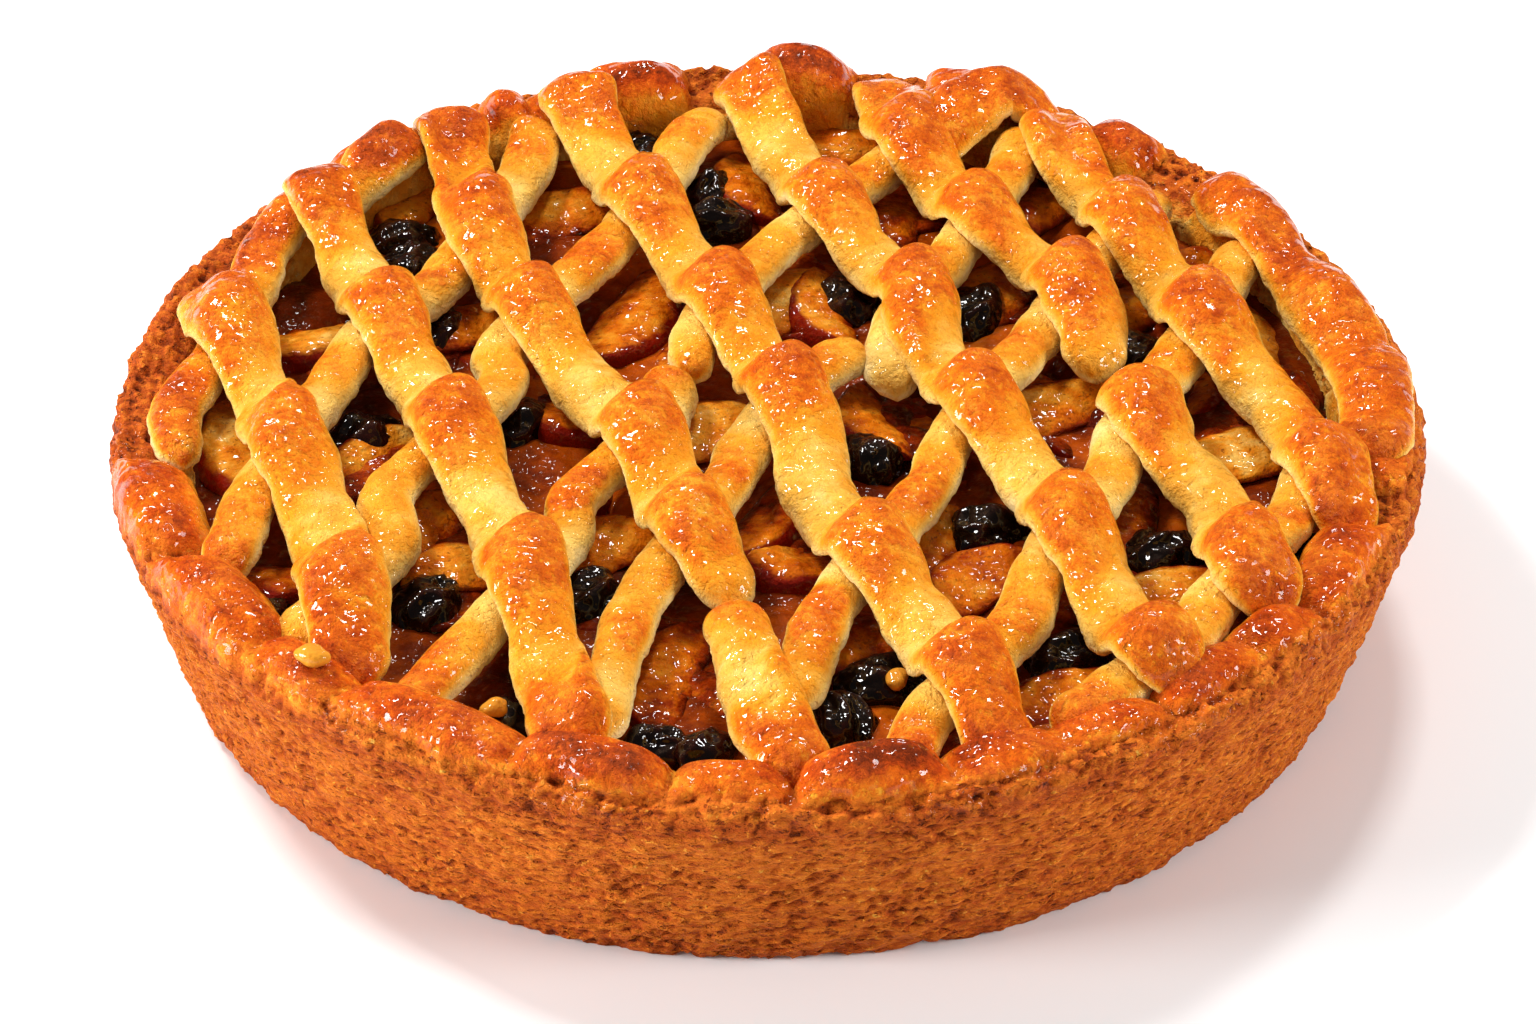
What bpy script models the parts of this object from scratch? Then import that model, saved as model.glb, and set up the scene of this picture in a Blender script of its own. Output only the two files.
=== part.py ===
"""A deep lattice apple pie: a crumbly shortcrust case, an apple and raisin filling, and a lattice of
dough strips laid in two layers, the cross strips first and the long strips draped over them.

Metres, +Z up. The origin is on the table under the middle of the pie, and -Y is the side that faces
the viewer. Places and sizes are written in millimetres and turned into metres by MM.
"""

from math import cos, pi, radians, sin

import bmesh
import bpy
import numpy as np
from mathutils import Matrix

MM = 0.001
GAP = 0.45

# Case
RIM_R = 130.0
BASE_R = 117.0
RIDGE_Z = 42.0
BAND_Z = 44.5
FLOOR_Z = 8.0
CAVITY_BASE_R = 109.0
CAVITY_TOP_R = 116.0
CASE_SIDES = 144
CRAG = 0.7

# Filling
SAUCE_Z = 34.0
HEAP_Z = 39.0
HEAP_R = 112.0
SLICE_THICK = 8.0
SLICE_SIDES = 10
FILLING_SIDES = 64

# Lattice
LONG_HALF = 7.0
CROSS_HALF = 5.7
LONG_THICK = 6.4
CROSS_THICK = 6.0
RING_STEP = 7.0
ROUTE_STEP = 1.5
DRAPE_REACH = 5.0
# The rim is folded over the ends of the strips, but on the far side the long strips lie on it.
FOLDED_SIDE_Y = -30.0
FOLDED_REACH = 113.6
LAID_REACH = 122.5

# Long strips lie on top. Each is laid through these places, from the far rim to the near rim.
LONG_STRIPS = {
    "long_strip_1": [(-111, 34), (-106, 13), (-97, -6), (-88, -35), (-79, -64), (-75, -96)],
    "long_strip_2": [(-96, 80), (-80, 36), (-65, -5), (-51, -44), (-44, -66), (-34, -114)],
    "long_strip_3": [(-68, 108), (-65, 88), (-55, 47), (-36, 6), (-27, -12), (-21, -36), (-13, -54)],
    "long_strip_4": [(-45, 114), (-29, 76), (-11, 38), (8, -12), (13, -34), (30, -80), (41, -112)],
    "long_strip_5": [(-9, 117), (11, 73), (30, 36), (33, 16), (51, -26), (62, -58), (66, -74), (78, -98)],
    "long_strip_6": [(24, 115), (30, 95), (47, 64), (59, 45), (65, 26), (66, 10)],
    "long_strip_7": [(60, 104), (74, 72), (80, 51), (93, 14), (99, -6), (110, -26), (115, -48)],
    "long_strip_8": [(86, 88), (97, 65), (106, 46), (115, 20)],
    "long_strip_9": [(-7, -69), (-3, -88), (6, -116)],
    "long_strip_10": [(72, 1), (77, -17), (91, -54), (97, -80)],
}

# Cross strips lie under them. Each is laid from the near rim to the far rim.
CROSS_STRIPS = {
    "cross_strip_1": [(-108, -14), (-107, -2), (-99, 28), (-92, 50), (-79, 78)],
    "cross_strip_2": [(-102, -56), (-99, -30), (-87, 3), (-80, 24), (-67, 42), (-52, 82), (-47, 98)],
    "cross_strip_3": [(-88, -86), (-86, -72), (-74, -50), (-72, -30), (-53, 4), (-52, 20), (-30, 62),
                      (-18, 79), (-16, 94), (-11, 106)],
    "cross_strip_4": [(-61, -92), (-54, -76), (-38, -46), (-36, -32), (-22, -6), (-23, 15)],
    "cross_strip_5": [(-10, 6), (-11, 22), (-5, 42), (8, 65), (24, 82), (33, 99)],
    "cross_strip_6": [(-31, -108), (-28, -88), (-22, -62), (-8, -30), (0, -6), (14, 23)],
    "cross_strip_7": [(26, 4), (26, 26), (38, 52), (50, 83), (54, 97)],
    "cross_strip_8": [(3, -100), (7, -84), (12, -66), (31, -30), (37, -11), (55, 24), (70, 55), (83, 77)],
    "cross_strip_9": [(26, -112), (30, -100), (46, -76), (54, -50), (66, -28), (71, -8), (82, 14),
                      (96, 48), (98, 60)],
    "cross_strip_10": [(55, -101), (71, -86), (80, -72), (86, -56), (97, -42), (107, -22)],
}

# Dough pressed down on the rim between the strip ends:
# angle, distance from the middle, half its length, half its width, height
RIM_LUMPS = [
    (0, 123, 12, 8, 4), (51.5, 122, 7, 9, 8), (68.5, 122, 11, 9, 7), (86.3, 121, 10, 9, 10),
    (103, 121, 10, 9, 7), (117.3, 121, 4.5, 8, 5), (133, 122, 8, 8, 6), (155, 123, 10, 7, 4), (176, 125, 15, 6, 3),
    (196, 120, 18, 10, 6), (212, 120, 20, 10, 6), (226, 121, 12, 9, 4), (240, 119, 19, 10, 7),
    (255, 120, 14, 9, 8), (267, 121, 11, 8, 5), (279, 120, 13, 10, 9), (291, 121, 12, 8, 5),
    (302, 121, 13, 8, 4), (313, 121, 12, 8, 5), (330, 121, 17, 9, 6), (354.5, 123, 6, 8, 4),
]

# Apple slices that show between the strips: middle, length, width, heading, slope
APPLE_SLICES = [
    (-93, 33, 30, 14, 15, 12), (-74, 84, 28, 15, 65, 10), (-43, 79, 34, 18, 20, 12),
    (-29, 40, 42, 17, 66, 14), (-58, 36, 26, 14, 25, 10), (-3, 92, 30, 14, 105, 16),
    (12, 106, 30, 18, 10, 8), (28, 77, 30, 15, 80, 14), (56, 79, 26, 16, 50, 10), (5, 47, 26, 15, 60, 8),
    (13, 44, 34, 13, 100, 18), (50, 51, 24, 16, 65, 12), (76, 42, 26, 15, 35, 8), (101, 31, 34, 14, 105, 16),
    (-108, -8, 46, 17, 112, 14), (-76, -9, 30, 12, 45, 18), (-38, 4, 26, 12, 155, 12),
    (-66, -34, 30, 16, 60, 16), (-58, -48, 24, 15, 10, 8), (-93, -49, 26, 14, 170, 10),
    (-31, -41, 30, 18, 35, 8), (-18, -80, 36, 18, 75, 10), (-9, -2, 32, 20, 20, 8),
    (-2, -33, 32, 13, 65, 20), (22, 3, 28, 14, 110, 14), (33, -38, 28, 13, 75, 16), (42, -51, 28, 17, 40, 8),
    (58, 6, 34, 16, 32, 12), (95, -10, 36, 19, 20, 12), (71, -32, 28, 14, 80, 12), (76, -56, 32, 15, 12, 8),
    (18, -72, 28, 17, 20, 10), (57, -88, 32, 15, 15, 12), (5, -43, 28, 15, 150, 10), (88, 56, 24, 14, 60, 10),
]

# Raisins that show between the strips: middle, length, heading
RAISINS = [
    (-76, 71, 15, 30), (-73, 60, 15, 80), (-27, 106, 13, 60), (-67, 36, 15, 80), (-10, 78, 15, 20),
    (-12, 90, 13, 70), (18, 49, 17, 115), (43, 43, 17, 70), (74, 26, 15, 60), (-80, -1, 17, 35),
    (-49, 3, 15, 60), (-64, -57, 16, 70), (-95, -63, 15, 60), (-33, -56, 14, 80), (-47, -96, 16, 70),
    (-20, -102, 11, 0), (-11, -103, 11, 40), (21, -9, 14, 110), (43, -33, 16, 20), (76, -41, 16, 20),
    (105, -44, 15, 60), (22, -82, 17, 10), (14, -93, 15, 120), (56, -74, 16, 20),
]


def clear_scene():
    for old in list(bpy.data.objects):
        bpy.data.objects.remove(old)


def new_collection(name):
    group = bpy.data.collections.new(name)
    bpy.context.scene.collection.children.link(group)
    return group


def new_material(name, colour, roughness):
    material = bpy.data.materials.new(name)
    material.use_nodes = True
    shader = material.node_tree.nodes["Principled BSDF"]
    shader.inputs["Base Color"].default_value = (*colour, 1.0)
    shader.inputs["Roughness"].default_value = roughness
    shader.inputs["Metallic"].default_value = 0.0
    return material


def add_object(name, data, group, material):
    obj = bpy.data.objects.new(name, data)
    group.objects.link(obj)
    data.materials.append(material)
    return obj


def evaluated_mesh(obj):
    """The object's mesh with its modifiers applied."""
    graph = bpy.context.evaluated_depsgraph_get()
    return bpy.data.meshes.new_from_object(obj.evaluated_get(graph))


def turned(name, profile, sides):
    """A mesh turned about Z from a profile of (radius, height) in millimetres, from the middle of its
    top over the outer side to the middle of its bottom."""
    mesh = bpy.data.meshes.new(name)
    points = [(r * MM, 0.0, z * MM) for r, z in profile]
    mesh.from_pydata(points, [(i, i + 1) for i in range(len(points) - 1)], [])
    obj = bpy.data.objects.new(name, mesh)
    bpy.context.scene.collection.objects.link(obj)
    screw = obj.modifiers.new("Turn", "SCREW")
    screw.steps = sides
    screw.render_steps = sides
    screw.use_merge_vertices = True
    screw.merge_threshold = 1e-5
    solid = evaluated_mesh(obj)
    bpy.data.objects.remove(obj)
    return solid


def lump_height(x, y):
    """Height in millimetres that the pressed dough adds to the rim: the tallest pillow at each place."""
    angle = np.arctan2(y, x)
    reach = np.hypot(x, y)
    height = np.zeros_like(angle)
    for at, out, half_long, half_wide, tall in RIM_LUMPS:
        along = (angle - radians(at) + pi) % (2 * pi) - pi
        u = np.clip(1 - (along * out / half_long) ** 2, 0, 1)
        v = np.clip(1 - ((reach - out) / half_wide) ** 2, 0, 1)
        height = np.maximum(height, tall * u**0.6 * v**0.6)
    return height


# The top of the rim, from the ridge above the wall to the lip over the filling
RIM_PROFILE = [(130.0, RIDGE_Z), (128.0, 43.6), (124.5, BAND_Z), (120.5, 44.2), (117.0, 42.6), (114.5, 40.4)]


def rim_top(x, y):
    """Height of the rim's top in millimetres, or zero inside its lip."""
    reach = np.hypot(x, y)
    radii, heights = zip(*RIM_PROFILE[::-1])
    band = np.interp(reach, radii, heights, left=0.0, right=0.0)
    return np.where(band > 0, band + lump_height(x, y), 0.0)


def crags(angle, height):
    """Uneven crumb of the wall, from minus one to one: a few waves that run round and up the case."""
    waves = ((7, 0.11, 0.3), (13, -0.23, 1.9), (23, 0.41, 4.1), (37, 0.29, 2.6))
    total = sum(np.sin(turns * angle + climb * height + phase) for turns, climb, phase in waves)
    return total / len(waves)


def pie_case(group, material):
    """The case: a turned wall and floor, with the pressed dough raised on its rim."""
    wall = [(BASE_R + (RIM_R - BASE_R) * t, 1.5 + (RIDGE_Z - 3.5) * t) for t in (0.02, 0.3, 0.62, 0.96)]
    profile = [(0, FLOOR_Z), (CAVITY_BASE_R, FLOOR_Z)]
    profile += RIM_PROFILE[::-1]
    profile += wall[::-1]
    profile += [(BASE_R - 2.0, 0.0), (0, 0.0)]
    mesh = turned("pie_case", profile, CASE_SIDES)
    points = np.empty(len(mesh.vertices) * 3)
    mesh.vertices.foreach_get("co", points)
    x, y, z = points.reshape(-1, 3).T / MM
    angle = np.arctan2(y, x)
    reach = np.hypot(x, y)
    on_rim = (z > 40) & (reach > 112)
    z[on_rim] += lump_height(x, y)[on_rim]
    # The wall is uneven, except where the four compass points keep the pie centred.
    uneven = CRAG * crags(angle, z) * np.sin(2 * angle) ** 2
    outside = (reach > BASE_R - 1) & (z > 0.5)
    scale = np.where(outside, 1 - np.abs(uneven) / np.maximum(reach, 1), 1.0)
    mesh.vertices.foreach_set("co", (np.stack([x * scale, y * scale, z], 1) * MM).ravel())
    case = add_object("pie_case", mesh, group, material)
    mesh.shade_smooth()
    mesh.set_sharp_from_angle(angle=radians(50))
    return case


def apple_slice(length, width):
    """A slice of apple lying flat: a circle drawn out to a half moon, straight on the cored side."""
    shape = bmesh.new()
    bmesh.ops.create_circle(shape, cap_ends=True, segments=SLICE_SIDES, radius=1)
    for vert in shape.verts:
        skin_side = vert.co.y > 0
        bow = 0.25 * width * vert.co.x**2
        vert.co.x *= 0.5 * length
        vert.co.y = vert.co.y * (0.75 if skin_side else 0.3) * width - bow
    raised = bmesh.ops.extrude_face_region(shape, geom=shape.faces[:])
    top = [part for part in raised["geom"] if isinstance(part, bmesh.types.BMVert)]
    bmesh.ops.translate(shape, verts=top, vec=(0, 0, SLICE_THICK))
    bmesh.ops.recalc_face_normals(shape, faces=shape.faces)
    return shape


def raisin(length):
    """A raisin: a flattened ball, longer than it is wide."""
    shape = bmesh.new()
    bmesh.ops.create_uvsphere(shape, u_segments=7, v_segments=5, radius=0.5)
    bmesh.ops.scale(shape, verts=shape.verts, vec=(length, 0.74 * length, 0.62 * length))
    return shape


def set_in_heap(shape, x, y, heading, slope, name, group):
    """Turns the shape, slopes it, sinks it so that it just reaches the top of the heap, and draws in
    what would reach into the case."""
    turn = Matrix.Rotation(radians(heading), 4, "Z") @ Matrix.Rotation(radians(slope), 4, "X")
    bmesh.ops.transform(shape, matrix=turn, verts=shape.verts)
    top = max(vert.co.z for vert in shape.verts)
    bmesh.ops.translate(shape, verts=shape.verts, vec=(x, y, HEAP_Z - top))
    for vert in shape.verts:
        reach = vert.co.xy.length
        if reach > HEAP_R:
            vert.co.xy *= HEAP_R / reach
    bmesh.ops.scale(shape, verts=shape.verts, vec=(MM, MM, MM))
    mesh = bpy.data.meshes.new(name)
    shape.to_mesh(mesh)
    shape.free()
    group.objects.link(bpy.data.objects.new(name, mesh))


def filling(group, material):
    """The filling: a turned core of sauce up to its level, with the slices and raisins that show fused on."""
    climb = (CAVITY_TOP_R - CAVITY_BASE_R) / (RIM_PROFILE[-1][1] - FLOOR_Z)
    top_r = CAVITY_BASE_R + climb * (SAUCE_Z - FLOOR_Z) - 2.0
    profile = [(0, SAUCE_Z), (0.5 * top_r, SAUCE_Z), (top_r, SAUCE_Z),
               (CAVITY_BASE_R - 2.0, FLOOR_Z + GAP), (0, FLOOR_Z + GAP)]
    core = add_object("apple_filling", turned("apple_filling", profile, FILLING_SIDES), group, material)
    pieces = new_collection("heap")
    for number, (x, y, length, width, heading, slope) in enumerate(APPLE_SLICES):
        set_in_heap(apple_slice(length, width), x, y, heading, slope, f"slice_{number}", pieces)
    for number, (x, y, length, heading) in enumerate(RAISINS):
        set_in_heap(raisin(length), x, y, heading, 0, f"raisin_{number}", pieces)
    join = core.modifiers.new("Join", "BOOLEAN")
    join.operation = "UNION"
    join.operand_type = "COLLECTION"
    join.collection = pieces
    join.solver = "MANIFOLD"
    joined = evaluated_mesh(core)
    core.modifiers.clear()
    core.data = joined
    for piece in list(pieces.objects):
        bpy.data.objects.remove(piece)
    bpy.data.collections.remove(pieces)
    return core


def smooth_route(places):
    """A smooth curve through the places, as points an even step apart: each stretch is a cubic that
    leaves and reaches its places in the direction of their neighbours."""
    p = np.array(places, float)
    p = np.vstack([2 * p[0] - p[1], p, 2 * p[-1] - p[-2]])
    t = np.linspace(0, 1, 24, endpoint=False)[:, None]
    stretches = []
    for a, b, c, d in zip(p[:-3], p[1:-2], p[2:-1], p[3:]):
        stretches.append(0.5 * (2 * b + (c - a) * t + (2 * a - 5 * b + 4 * c - d) * t**2
                                + (3 * b - a - 3 * c + d) * t**3))
    curve = np.vstack([*stretches, p[-2:-1]])
    run = np.append(0, np.cumsum(np.hypot(*np.diff(curve, axis=0).T)))
    even = np.linspace(0, run[-1], int(run[-1] / ROUTE_STEP) + 1)
    return np.stack([np.interp(even, run, curve[:, k]) for k in (0, 1)], 1)


def cut_at_rim(route, half, far_reach):
    """The route without the ends that reach too far out: a strip's edges stop at the fold of the rim,
    or on the rim itself if they are given that reach and lie on the far side."""
    side = sideways(route)
    edge_reach = np.maximum(np.hypot(*(route + half * side).T), np.hypot(*(route - half * side).T))
    kept = np.flatnonzero(edge_reach < np.where(route[:, 1] > FOLDED_SIDE_Y, far_reach, FOLDED_REACH))
    return route[kept[0]:kept[-1] + 1]


def sideways(route):
    """Unit vectors across the route, level with the table."""
    ahead = np.gradient(route, axis=0)
    ahead /= np.hypot(*ahead.T)[:, None]
    return np.stack([-ahead[:, 1], ahead[:, 0]], 1)


def strip_top(across, half, thick):
    """Height of a strip's rounded top above its underside, at a distance across from its middle."""
    return thick * np.clip(1 - (np.abs(across) / half) ** 3, 0, 1) ** 0.5


def laid_top(x, y, laid):
    """The highest strip top at each place, or zero where no laid strip covers it."""
    top = np.zeros_like(x)
    for route, under, half, thick in laid:
        away = np.hypot(x[..., None] - route[:, 0], y[..., None] - route[:, 1])
        nearest = away.argmin(-1)
        across = away.min(-1)
        covered = across < half
        top = np.where(covered, np.maximum(top, under[nearest] + strip_top(across, half, thick)), top)
    return top


def drape(route, half, laid):
    """Height of a strip's underside along its route: it rests on the heap, the rim and the strips
    already laid, and bends over them no tighter than the dough does."""
    side = sideways(route)
    places = route[:, None, :] + side[:, None, :] * np.linspace(-half, half, 9)[None, :, None]
    x, y = places[..., 0], places[..., 1]
    rest = np.maximum(np.maximum(rim_top(x, y), laid_top(x, y, laid)), HEAP_Z).max(1)
    reach = int(DRAPE_REACH / ROUTE_STEP)
    padded = np.pad(rest, 2 * reach, mode="edge")
    highest = np.array([padded[i:i + 2 * reach + 1].max() for i in range(len(padded) - 2 * reach)])
    even = np.hanning(2 * reach + 3)[1:-1]
    return np.convolve(highest, even / even.sum(), mode="valid") + GAP


def strip_section(half, thick):
    """The outline of a strip, as a flat curve that the strips are swept from: flat below, round on top."""
    outline = [(-0.86 * half, 0.0), (-half, 0.30 * thick), (-0.72 * half, 0.80 * thick), (0.0, thick),
               (0.72 * half, 0.80 * thick), (half, 0.30 * thick), (0.86 * half, 0.0)]
    curve = bpy.data.curves.new("strip_section", "CURVE")
    spline = curve.splines.new("POLY")
    spline.points.add(len(outline) - 1)
    for point, (x, y) in zip(spline.points, outline):
        point.co = (x * MM, y * MM, 0, 1)
    spline.use_cyclic_u = True
    section = bpy.data.objects.new("strip_section", curve)
    bpy.context.scene.collection.objects.link(section)
    section.hide_render = True
    section.display_type = "WIRE"
    return section


def strip(name, route, under, section, group, material):
    """A strip of dough: the section swept along the draped route, drawn in a little at its two ends."""
    count = max(4, round(len(route) * ROUTE_STEP / RING_STEP))
    rings = np.linspace(0, len(route) - 1, count).round().astype(int)
    curve = bpy.data.curves.new(name, "CURVE")
    curve.dimensions = "3D"
    curve.twist_mode = "Z_UP"
    curve.bevel_mode = "OBJECT"
    curve.bevel_object = section
    curve.use_fill_caps = True
    spline = curve.splines.new("POLY")
    spline.points.add(count - 1)
    for number, ring in enumerate(rings):
        point = spline.points[number]
        point.co = (*(route[ring] * MM), under[ring] * MM, 1)
        point.radius = 0.82 if number in (0, count - 1) else 1.0
    return add_object(name, curve, group, material)


def lattice(group, cross_material, long_material):
    """The cross strips, laid on the heap and the rim, and the long strips draped over them."""
    laid = []
    layers = ((CROSS_STRIPS, CROSS_HALF, CROSS_THICK, FOLDED_REACH, cross_material),
              (LONG_STRIPS, LONG_HALF, LONG_THICK, LAID_REACH, long_material))
    for strips, half, thick, far_reach, material in layers:
        section = strip_section(half, thick)
        layer = []
        for name, places in strips.items():
            route = cut_at_rim(smooth_route(places), half, far_reach)
            under = drape(route, half, laid)
            strip(name, route, under, section, group, material)
            layer.append((route, under, half, thick))
        laid = layer


def main():
    clear_scene()
    pie = new_collection("lattice_apple_pie")
    pie_case(pie, new_material("shortcrust", (0.52, 0.20, 0.05), 0.7))
    filling(pie, new_material("apple_and_raisin", (0.30, 0.09, 0.03), 0.3))
    lattice(pie, new_material("pale_glazed_dough", (0.80, 0.48, 0.15), 0.35),
            new_material("browned_glazed_dough", (0.72, 0.31, 0.07), 0.35))


main()
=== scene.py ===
from math import cos, pi, radians, sin

import bpy
import numpy as np
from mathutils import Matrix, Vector


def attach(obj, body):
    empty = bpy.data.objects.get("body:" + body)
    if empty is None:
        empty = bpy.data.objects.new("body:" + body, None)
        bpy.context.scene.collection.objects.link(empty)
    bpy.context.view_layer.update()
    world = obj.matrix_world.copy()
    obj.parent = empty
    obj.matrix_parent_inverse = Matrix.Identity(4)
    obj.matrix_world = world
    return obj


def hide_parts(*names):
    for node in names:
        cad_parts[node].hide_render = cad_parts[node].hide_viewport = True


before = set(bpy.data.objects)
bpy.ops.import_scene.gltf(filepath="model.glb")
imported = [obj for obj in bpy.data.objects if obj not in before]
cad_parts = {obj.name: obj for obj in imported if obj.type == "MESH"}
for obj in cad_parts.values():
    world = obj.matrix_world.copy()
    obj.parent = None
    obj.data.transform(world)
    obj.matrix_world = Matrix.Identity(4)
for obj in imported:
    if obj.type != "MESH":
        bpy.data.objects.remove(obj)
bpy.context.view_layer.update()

# The pastry case
# One piece of sweet shortcrust, pressed into a round tin by hand and turned out after baking: a flat
# floor, a sloping wall with a dry crumbly face, and a rim where the ends of the lattice are pressed
# down in lumps behind a rough outer ridge.

MM = 0.001
BASE_R = 117.6
LIP_R = 112.6
RIDGE_R = 128.0
FLOOR_TOP = 8.0
CASE_AROUND = 1000
WALL_ROWS = 56

# The dry ring of the rim, from the outer face of the ridge to the lip over the filling: reach, height
RIM_REACH = [130.4, 130.0, 128.8, 127.2, 125.4, 122.0, 118.0, 115.0, 113.2, LIP_R]
RIM_HEIGHT = [40.6, 42.4, 44.2, 44.4, 43.6, 43.0, 42.0, 39.6, 36.8, 32.0]

# Dough pressed down on the rim: angle, distance from the middle, half length, half width, height
RIM_LUMPS = [
    (0, 121, 12, 8, 4.5), (16, 121, 10, 8, 4.5), (34, 121, 12, 8, 4), (51.5, 121, 8, 8, 8),
    (68.5, 121, 11, 9, 8.5), (86.3, 120, 11, 9, 12), (103, 120, 10, 9, 9.5), (111, 119, 8, 8, 6),
    (117.3, 120, 5, 8, 8.5), (123, 119, 8, 8, 5), (133, 121, 11, 8, 8), (146, 121, 6, 7, 3),
    (197, 121, 14.5, 11, 7), (213.5, 121, 16, 10, 7), (226, 121, 11, 10, 5), (240, 119, 19, 10, 7.5),
    (255, 119, 14, 9, 8), (267, 119, 10, 8, 5.5), (279, 119, 13, 9, 8.5), (291, 120, 11, 8, 5.5),
    (301, 120, 11, 7, 4.5), (312, 119, 11, 8, 6), (321, 120, 9, 8, 5.5), (333, 120, 14, 9, 6.5),
    (350, 121, 9, 8, 4.5),
]

# How far the rim falls short of a true circle, by angle
RIM_SHORT = [(0, 0.6), (15, 1.6), (40, 1.8), (60, 0.6), (90, 0), (125, 0.2), (142, 1.9), (176, 1.9),
             (200, 1.2), (235, 1.0), (255, 0), (300, 0), (330, 0.6)]

# The angle of the lump that dark syrup boiled over
SPILT_AT = 279

cell_order = np.random.default_rng(11).permutation(256)
cell_slopes = np.random.default_rng(12).normal(size=(256, 3))
cell_slopes /= np.linalg.norm(cell_slopes, axis=1)[:, None]
cell_centres = np.random.default_rng(13).random((256, 3))


def shuffled(cell):
    """A fixed number from 0 to 255 for each whole-numbered cell of space, with no visible order."""
    mixed = cell_order[cell[..., 0] & 255]
    mixed = cell_order[(mixed + cell[..., 1]) & 255]
    return cell_order[(mixed + cell[..., 2]) & 255]


def swell(points, size):
    """Gradient noise from about -1 to 1, whose waves are the given size across: each corner of a cell
    has a random slope, and the eight slopes are blended with a fifth-power ease."""
    place = points / size
    cell = np.floor(place).astype(int)
    inside = place - cell
    ease = inside**3 * (inside * (inside * 6 - 15) + 10)
    total = np.zeros(points.shape[:-1])
    for corner in np.ndindex(2, 2, 2):
        step = np.array(corner)
        slope = cell_slopes[shuffled(cell + step)]
        total += np.prod(np.where(step, ease, 1 - ease), -1) * ((inside - step) * slope).sum(-1)
    return 1.6 * total


def rough(points, size, octaves=3, fade=0.55):
    """Gradient noise summed over octaves, each half the size of the last and fade times as high."""
    return sum(fade**k * swell(points + 31.7 * k, size / 2**k) for k in range(octaves))


def grains(points, size):
    """Distance to the nearest of many scattered points, one in each cell, in cell widths."""
    place = points / size
    cell = np.floor(place).astype(int)
    nearest = np.full(points.shape[:-1], np.inf)
    for step in np.ndindex(3, 3, 3):
        at = cell + np.array(step) - 1
        centre = at + 0.1 + 0.8 * cell_centres[shuffled(at)]
        nearest = np.minimum(nearest, ((place - centre) ** 2).sum(-1))
    return np.sqrt(nearest)


def between(value, low, high):
    """An eased step: 0 below low, 1 above high, and a smooth cubic from one to the other."""
    t = np.clip((value - low) / (high - low), 0, 1)
    return t * t * (3 - 2 * t)


def lump_heights(angle, reach):
    """Height of the pressed dough over the rim, in millimetres: the tallest of the pillows, each half
    an ellipse along the rim and half an ellipse across it, with edges that wander a little."""
    wander = np.stack([reach * np.cos(angle), reach * np.sin(angle), 0 * angle], -1)
    drift_along, drift_out = 1.4 * swell(wander, 11), 1.4 * swell(wander + 50, 8)
    height = np.zeros_like(angle)
    for at, out, half_long, half_wide, tall in RIM_LUMPS:
        along = (angle - radians(at) + pi) % (2 * pi) - pi
        u = 1 - np.clip(np.abs(along * out + drift_along) / (half_long + 0.6), 0, 1) ** 2.2
        v = 1 - np.clip(np.abs(reach - out + 1.8 + drift_out) / (half_wide + 1), 0, 1) ** 2.2
        height = np.maximum(height, tall * (u * v) ** 0.54)
    return height


def rim_heights(angle, reach):
    """Height of the rim: the dry ring, wavy along the ridge, with the lumps of dough on it."""
    place = np.stack([reach * np.cos(angle), reach * np.sin(angle), 0 * angle], -1)
    ring = np.interp(-reach, [-r for r in RIM_REACH], RIM_HEIGHT)
    ridge = np.exp(-((reach - RIDGE_R) / 2.2) ** 2)
    return ring + ridge * (1.1 * swell(place, 17) + 0.5 * swell(place, 5)) + lump_heights(angle, reach)


def ring_body(rings):
    """Vertices, quads and fans of a closed body skinned over a stack of rings. A fan round a middle
    point closes each end, and the whole is turned so that its faces point outwards."""
    rows, around, _ = rings.shape
    vertices = np.vstack([rings.reshape(-1, 3), rings[[0, -1]].mean(1)])
    row, column = np.meshgrid(np.arange(rows - 1), np.arange(around), indexing="ij")
    a = row * around + column
    b = row * around + (column + 1) % around
    quads = np.stack([a, b, b + around, a + around], -1).reshape(-1, 4)
    turn = np.arange(around)
    after = (turn + 1) % around
    top = (rows - 1) * around
    first = np.stack([np.full(around, rows * around), after, turn], -1)
    last = np.stack([np.full(around, rows * around + 1), top + turn, top + after], -1)
    fans = np.vstack([first, last])
    halves = np.vstack([quads[:, [0, 1, 2]], quads[:, [0, 2, 3]], fans])
    p, q, r = vertices[halves].transpose(1, 0, 2)
    if (p * np.cross(q, r)).sum() < 0:
        quads, fans = quads[:, ::-1], fans[:, ::-1]
    return vertices, quads, fans


def ring_normals(rings):
    """Outward unit normals of the rings' points, from the steps along and round the body."""
    along = np.gradient(rings, axis=0)
    around = np.roll(rings, -1, 1) - np.roll(rings, 1, 1)
    normal = np.cross(around, along)
    normal /= np.maximum(np.linalg.norm(normal, axis=-1, keepdims=True), 1e-9)
    outward = rings - rings.mean(1, keepdims=True)
    return normal if (normal * outward).sum() > 0 else -normal


made_pieces = []


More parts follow.
